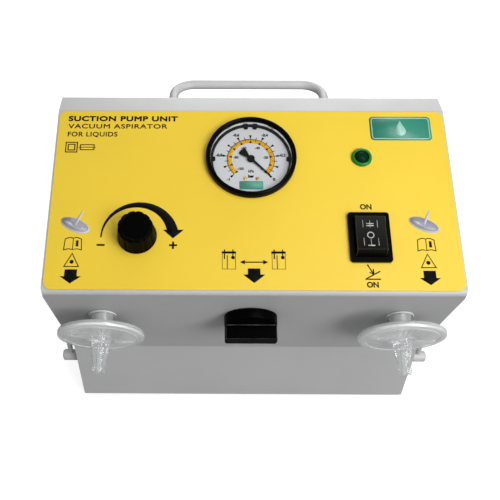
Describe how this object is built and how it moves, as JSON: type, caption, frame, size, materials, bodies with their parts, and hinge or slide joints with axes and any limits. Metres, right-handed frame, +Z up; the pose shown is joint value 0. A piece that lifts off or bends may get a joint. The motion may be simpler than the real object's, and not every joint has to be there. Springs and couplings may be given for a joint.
{
  "type": "suction pump",
  "caption": "Bench-top surgical suction pump with a sloped control panel, vacuum gauge, regulator, rocker switch, changeover tap and plug-in bacterial filters.",
  "frame": {"origin": "on the floor plane, at the centre of the overall footprint", "axes": "+X to the right seen from the front, +Y to the rear, +Z up"},
  "size_m": [0.3294, 0.2278, 0.2629],
  "materials": {
    "grey_paint": "satin powder coat",
    "yellow_film": "printed polyester film, semi-matt",
    "black_plastic": "moulded, semi-gloss",
    "black_rubber": "matt",
    "plated_steel": "zinc plated",
    "cast_aluminium": "as cast",
    "brass": "turned",
    "white_enamel": "printed white enamel",
    "clear_window": "clear",
    "hazy_plastic": "clear, slightly hazy moulding",
    "green_bezel": "moulded",
    "green_lens": "dark tinted, polished",
    "membrane_white": "hydrophobic filter paper",
    "silicone_hose": "translucent, matt",
    "motor_core": "laminated core"
  },
  "bodies": {
    "casing": {"casing_cover": "grey_paint", "rear_panel": "grey_paint", "base_plate": "grey_paint", "carry_handle": "grey_paint", "hose_hook_left": "grey_paint", "hose_hook_right": "grey_paint", "panel_overlay": "yellow_film", "gauge_case": "black_plastic", "gauge_bezel": "black_plastic", "switch_housing": "black_plastic", "exhaust_silencer": "black_plastic", "mains_inlet": "black_plastic", "pedal_socket": "black_plastic", "foot_front_left": "black_rubber", "foot_front_right": "black_rubber", "foot_rear_left": "black_rubber", "foot_rear_right": "black_rubber", "vibration_mount_front_left": "black_rubber", "vibration_mount_front_right": "black_rubber", "vibration_mount_rear_left": "black_rubber", "vibration_mount_rear_right": "black_rubber", "handle_nut_left": "plated_steel", "handle_nut_right": "plated_steel", "rear_screw_lower_left": "plated_steel", "rear_screw_lower_right": "plated_steel", "rear_screw_upper_left": "plated_steel", "rear_screw_upper_right": "plated_steel", "pump_bracket": "plated_steel", "selector_valve_body": "cast_aluminium", "motor_stator": "cast_aluminium", "crankcase": "cast_aluminium", "cylinder_head": "cast_aluminium", "bourdon_tube": "brass", "regulator_valve_body": "brass", "gauge_dial": "white_enamel", "gauge_window": "clear_window", "port_left": "hazy_plastic", "port_right": "hazy_plastic", "pilot_lamp_bezel": "green_bezel", "pilot_lamp_lens": "green_lens", "hose_left": "silicone_hose", "hose_right": "silicone_hose", "hose_pump": "silicone_hose"},
    "regulator": {"regulator_knob": "black_plastic", "regulator_spindle": "plated_steel"},
    "selector": {"selector_knob": "black_plastic", "selector_rotor": "white_enamel"},
    "rocker": {"switch_rocker": "black_plastic"},
    "needle": {"gauge_pointer": "black_plastic"},
    "pump_rotor": {"motor_rotor": "motor_core", "cooling_fan": "black_plastic", "crank": "plated_steel"},
    "piston": {"piston": "cast_aluminium"},
    "filter_left": {"filter_left_casing_side": "hazy_plastic", "filter_left_hose_side": "hazy_plastic", "filter_left_membrane": "membrane_white"},
    "filter_right": {"filter_right_casing_side": "hazy_plastic", "filter_right_hose_side": "hazy_plastic", "filter_right_membrane": "membrane_white"},
    "fuse_drawer": {"fuse_drawer": "black_plastic"}
  },
  "joints": [
    {"name": "regulator_turn", "type": "hinge", "parent": "casing", "child": "regulator", "pos_m": [-0.0838, -0.0456, 0.22014], "axis": [0, -0.3746, 0.9272], "range_deg": [-135, 135]},
    {"name": "selector_turn", "type": "hinge", "parent": "casing", "child": "selector", "pos_m": [0, -0.06813, 0.15873], "axis": [0, -0.9272, -0.3746], "range_deg": [-90, 90]},
    {"name": "switch_rock", "type": "hinge", "parent": "casing", "child": "rocker", "pos_m": [0.0838, -0.04625, 0.21988], "axis": [1, 0, 0], "range_deg": [-12, 12]},
    {"name": "gauge_needle", "type": "hinge", "parent": "casing", "child": "needle", "pos_m": [-0.0005, 0.01504, 0.24464], "axis": [0, -0.3746, 0.9272], "range_deg": [0, 270]},
    {"name": "pump_spin", "type": "hinge", "parent": "casing", "child": "pump_rotor", "pos_m": [0, 0.0187, 0.064], "axis": [1, 0, 0], "continuous": true},
    {"name": "piston_stroke", "type": "slide", "parent": "casing", "child": "piston", "axis": [0, 0, 1], "range_m": [-0.0055, 0.0055]},
    {"name": "filter_left_pull", "type": "slide", "parent": "casing", "child": "filter_left", "axis": [0, -0.9272, -0.3746], "range_m": [0, 0.012]},
    {"name": "filter_right_pull", "type": "slide", "parent": "casing", "child": "filter_right", "axis": [0, -0.9272, -0.3746], "range_m": [0, 0.012]},
    {"name": "fuse_drawer_slide", "type": "slide", "parent": "casing", "child": "fuse_drawer", "axis": [0, 1, 0], "range_m": [0, 0.018]}
  ]
}
